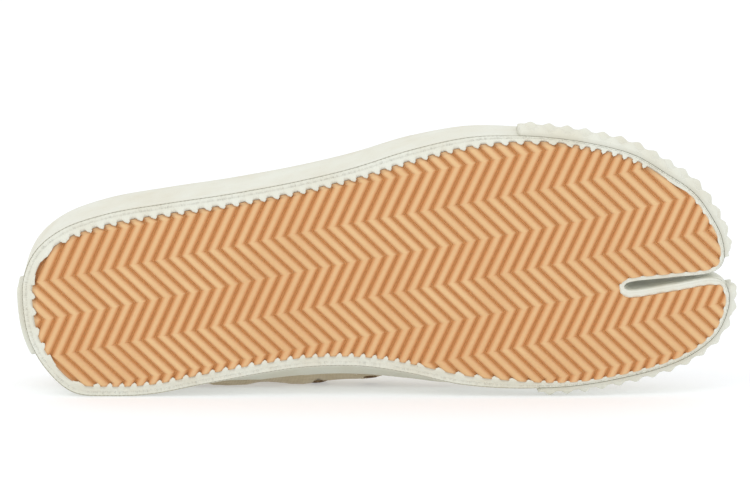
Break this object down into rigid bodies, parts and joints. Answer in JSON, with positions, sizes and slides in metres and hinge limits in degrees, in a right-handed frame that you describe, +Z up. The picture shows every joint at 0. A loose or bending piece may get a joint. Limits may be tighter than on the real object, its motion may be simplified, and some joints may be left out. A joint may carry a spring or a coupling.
{
  "type": "tabi sneaker",
  "caption": "Low split-toe canvas sneaker with a gum herringbone sole and studded toe bumper, lying on its side.",
  "frame": {"origin": "centre of the shoe's outer box, on the floor under it", "axes": "+X along the shoe from heel to toe, the sole faces -Y, +Z up from the floor; the shoe lies on its medial side"},
  "size_m": [0.288, 0.0938, 0.1095],
  "materials": {
    "gum_rubber": "moulded gum rubber, satin",
    "white_rubber": "off-white vulcanised rubber, satin",
    "canvas": "natural cotton canvas, plain weave",
    "insole_cloth": "cotton drill over foam",
    "eyelet_metal": "dark antique metal",
    "cotton_lace": "flat woven cotton lace"
  },
  "bodies": {
    "root": {"outsole": "gum_rubber", "foxing": "white_rubber", "upper": "canvas", "insole": "insole_cloth", "toe_bumper_outer": "white_rubber", "toe_bumper_big": "white_rubber", "heel_patch": "white_rubber", "tongue": "canvas", "lace": "cotton_lace", "vent_eyelet_1": "eyelet_metal", "vent_eyelet_2": "eyelet_metal", "lace_eyelet_1_lateral": "eyelet_metal", "lace_eyelet_1_medial": "eyelet_metal", "lace_eyelet_2_lateral": "eyelet_metal", "lace_eyelet_2_medial": "eyelet_metal", "lace_eyelet_3_lateral": "eyelet_metal", "lace_eyelet_3_medial": "eyelet_metal", "lace_eyelet_4_lateral": "eyelet_metal", "lace_eyelet_4_medial": "eyelet_metal", "lace_eyelet_5_lateral": "eyelet_metal", "lace_eyelet_5_medial": "eyelet_metal", "lace_eyelet_6_lateral": "eyelet_metal", "lace_eyelet_6_medial": "eyelet_metal"}
  },
  "joints": []
}
